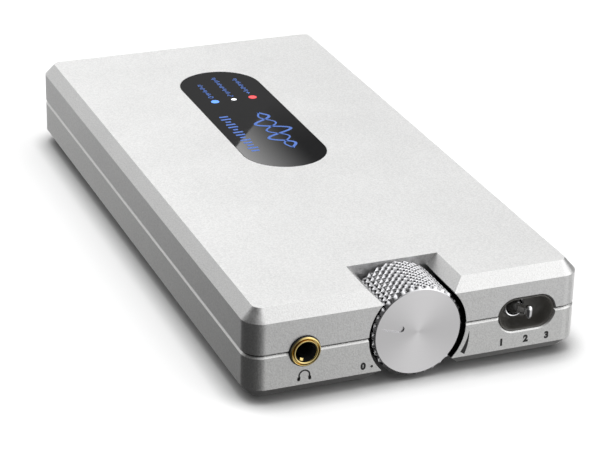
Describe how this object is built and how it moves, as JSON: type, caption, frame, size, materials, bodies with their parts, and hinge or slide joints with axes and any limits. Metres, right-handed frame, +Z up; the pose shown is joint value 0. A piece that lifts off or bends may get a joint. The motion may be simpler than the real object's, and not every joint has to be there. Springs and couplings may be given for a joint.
{
  "type": "portable headphone dac amplifier",
  "caption": "Flat silver clamshell headphone DAC amplifier with a sunken knurled volume knob, gilt headphone socket, input selector lever and a black display window on top.",
  "frame": {"origin": "under the middle of the case, on the surface that its feet stand on", "axes": "+X to the right along the front wall seen from the front, +Y from the front wall to the back wall, +Z up; the knob, headphone socket and selector face -Y"},
  "size_m": [0.0664, 0.1368, 0.0189],
  "materials": {
    "case_aluminium": "fine bead-blasted clear anodised",
    "case_aluminium_lower": "fine bead-blasted clear anodised",
    "knob_aluminium": "diamond-knurled rim, spun face",
    "window_black": "back-printed gloss black lens",
    "adhesive": "black foam tape",
    "screw_steel": "black-zinc steel",
    "foot_rubber": "matt moulded",
    "board_green": "solder mask",
    "battery_wrap": "pouch foil wrap",
    "battery_pad": "foam pad",
    "kapton": "amber tape",
    "connector_ivory": "moulded nylon",
    "wire_red": "PVC insulation",
    "wire_black": "PVC insulation",
    "black_plastic": "moulded",
    "black_gloss_plastic": "polished moulded",
    "plated_steel": "tin plated",
    "gold_plate": "gold plated",
    "chrome": "polished",
    "led_blue": "lit",
    "led_white": "lit",
    "led_red": "lit",
    "light_pipe_clear": "clear acrylic",
    "ceramic_white": "antenna ceramic",
    "chip_black": "epoxy package",
    "capacitor_amber": "moulded case"
  },
  "bodies": {
    "chassis": {"bottom_shell": "case_aluminium_lower", "top_shell": "case_aluminium", "window_lens": "window_black", "lens_adhesive": "adhesive", "case_screws": "screw_steel", "rubber_feet": "foot_rubber", "main_board": "board_green", "board_screws": "screw_steel", "battery_pack": "battery_wrap", "battery_pad": "battery_pad", "battery_guard_board": "kapton", "battery_connector": "connector_ivory", "battery_lead_positive": "wire_red", "battery_lead_negative": "wire_black", "volume_pot": "black_plastic", "pot_bushing": "plated_steel", "pot_terminals": "gold_plate", "power_switch": "black_plastic", "headphone_jack": "black_plastic", "headphone_ring": "gold_plate", "headphone_contacts": "gold_plate", "line_jack": "black_plastic", "line_ring": "gold_plate", "line_contacts": "gold_plate", "selector_bezel": "black_gloss_plastic", "selector_collar": "chrome", "selector_switch": "black_plastic", "usb_data_socket": "plated_steel", "usb_data_tongue": "black_plastic", "usb_charge_socket": "plated_steel", "usb_charge_tongue": "black_plastic", "gain_switch": "plated_steel", "led_power": "led_blue", "led_source": "led_white", "led_charge": "led_red", "led_holder": "black_plastic", "light_pipes": "light_pipe_clear", "radio_module": "board_green", "radio_shield": "plated_steel", "radio_antenna": "ceramic_white", "converter_chip": "chip_black", "usb_chip": "chip_black", "charger_chip": "chip_black", "amplifier_chips": "chip_black", "clock_oscillators": "plated_steel", "power_inductor": "chip_black", "filter_capacitors": "capacitor_amber"},
    "volume_knob": {"volume_knob": "knob_aluminium", "knob_set_screw": "screw_steel", "pot_shaft": "plated_steel", "pot_rotor": "kapton"},
    "selector_lever": {"selector_lever": "chrome"},
    "gain_slider": {"gain_slider": "black_plastic"}
  },
  "joints": [
    {"name": "volume_turn", "type": "hinge", "parent": "chassis", "child": "volume_knob", "pos_m": [0, -0.0676, 0.00988], "axis": [0, 1, 0], "range_deg": [-48, 195]},
    {"name": "selector_tilt", "type": "hinge", "parent": "chassis", "child": "selector_lever", "pos_m": [0.0213, -0.0636, 0.00988], "axis": [0, 0, 1], "range_deg": [-48, 0]},
    {"name": "gain_slide", "type": "slide", "parent": "chassis", "child": "gain_slider", "axis": [1, 0, 0], "range_m": [0, 0.002]}
  ]
}
